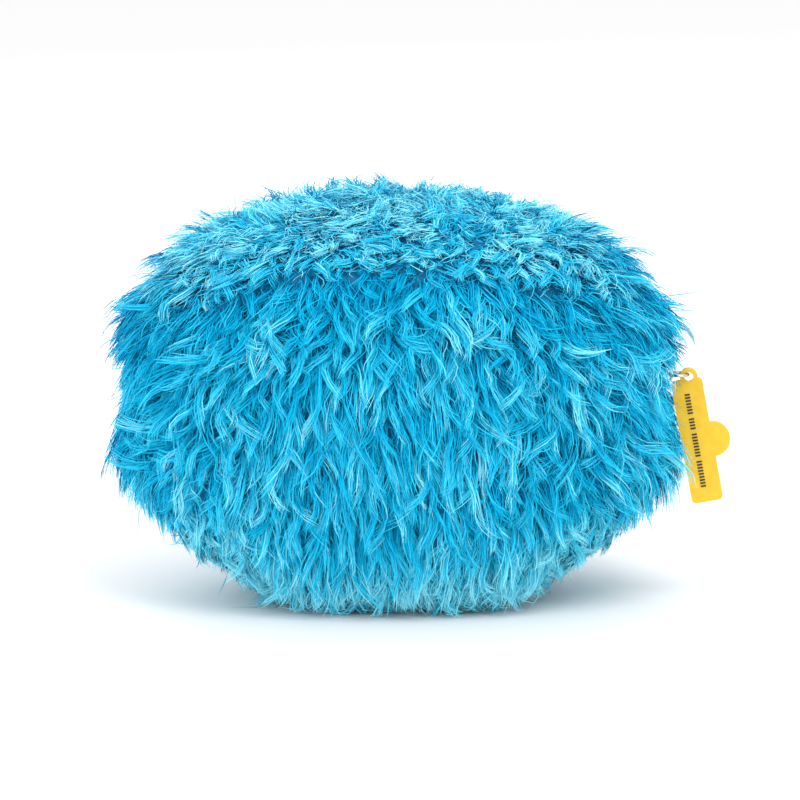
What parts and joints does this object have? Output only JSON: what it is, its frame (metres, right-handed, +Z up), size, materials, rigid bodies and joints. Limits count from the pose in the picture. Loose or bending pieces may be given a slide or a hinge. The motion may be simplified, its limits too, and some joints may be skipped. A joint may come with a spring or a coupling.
{
  "type": "moving mouth hand puppet head",
  "caption": "Fluffy long-pile hand puppet head with a hinged jaw, a zip round its mouth and a rubber zip pull.",
  "frame": {"origin": "middle of the hand opening, in the plane that the head rests on, below the jaw's hinge line", "axes": "+Z up, -Y is the way the face looks, +X is the puppet's left"},
  "size_m": [0.2417, 0.1708, 0.163],
  "materials": {
    "pile": "matte",
    "foam": "matte",
    "board": "matte",
    "mouth_fabric": "matte",
    "lining": "matte",
    "binding": "matte",
    "zip_tape": "matte",
    "zip_teeth": "satin",
    "metal": "satin",
    "tag_rubber": "satin",
    "tag_ink": "matte",
    "eye_plastic": "gloss",
    "washer_plastic": "matte"
  },
  "bodies": {
    "head": {"back_fur_panel": "pile", "nape_fur_panel": "pile", "crown_fur_panel": "pile", "face_fur_panel": "pile", "base_fur_panel": "pile", "back_foam": "foam", "face_foam": "foam", "upper_palate_board": "board", "upper_mouth_fabric": "mouth_fabric", "mouth_fold_strip": "mouth_fabric", "finger_sleeve": "lining", "palm_lining": "lining", "rear_opening_binding": "binding", "left_cheek_gusset": "pile", "right_cheek_gusset": "pile", "zip_tape_upper": "zip_tape", "zip_teeth_upper": "zip_teeth", "zip_end_tapes": "zip_tape", "zip_end_teeth": "zip_teeth", "zip_stops": "metal", "left_eye": "eye_plastic", "right_eye": "eye_plastic", "left_eye_washer": "washer_plastic", "right_eye_washer": "washer_plastic"},
    "jaw": {"jaw_fur_panel": "pile", "chin_fur_panel": "pile", "jaw_foam": "foam", "lower_palate_board": "board", "lower_mouth_fabric": "mouth_fabric", "thumb_sleeve": "lining", "front_opening_binding": "binding", "zip_tape_lower": "zip_tape", "zip_teeth_lower": "zip_teeth"},
    "slider": {"zip_slider": "metal"},
    "small_ring": {"small_ring": "metal"},
    "pull_ring": {"pull_ring": "metal"},
    "tag": {"rubber_tag": "tag_rubber", "tag_marks": "tag_ink"}
  },
  "joints": [
    {"name": "jaw_hinge", "type": "hinge", "parent": "head", "child": "jaw", "pos_m": [0, 0, 0.092], "axis": [1, 0, 0], "range_deg": [0, 26], "stiffness_Nm_per_rad": 0.08, "springref_deg": -17.19, "deforming": ["left_cheek_gusset", "right_cheek_gusset", "mouth_fold_strip"]},
    {"name": "zip_travel", "type": "hinge", "parent": "head", "child": "slider", "pos_m": [0, 0, 0.092], "axis": [0, 0, 1], "range_deg": [0, 187.55]},
    {"name": "small_ring_lift", "type": "hinge", "parent": "slider", "child": "small_ring", "pos_m": [-0.10487, 0.00692, 0.092], "axis": [0.0659, 0.9978, 0], "range_deg": [0, 50]},
    {"name": "pull_ring_turn", "type": "hinge", "parent": "small_ring", "child": "pull_ring", "pos_m": [-0.10966, 0.00724, 0.092], "axis": [0, 0, 1], "range_deg": [-20, 20]},
    {"name": "tag_swing", "type": "hinge", "parent": "pull_ring", "child": "tag", "pos_m": [-0.11605, 0.00766, 0.092], "axis": [0.0659, 0.9978, 0], "range_deg": [0, 60]}
  ]
}
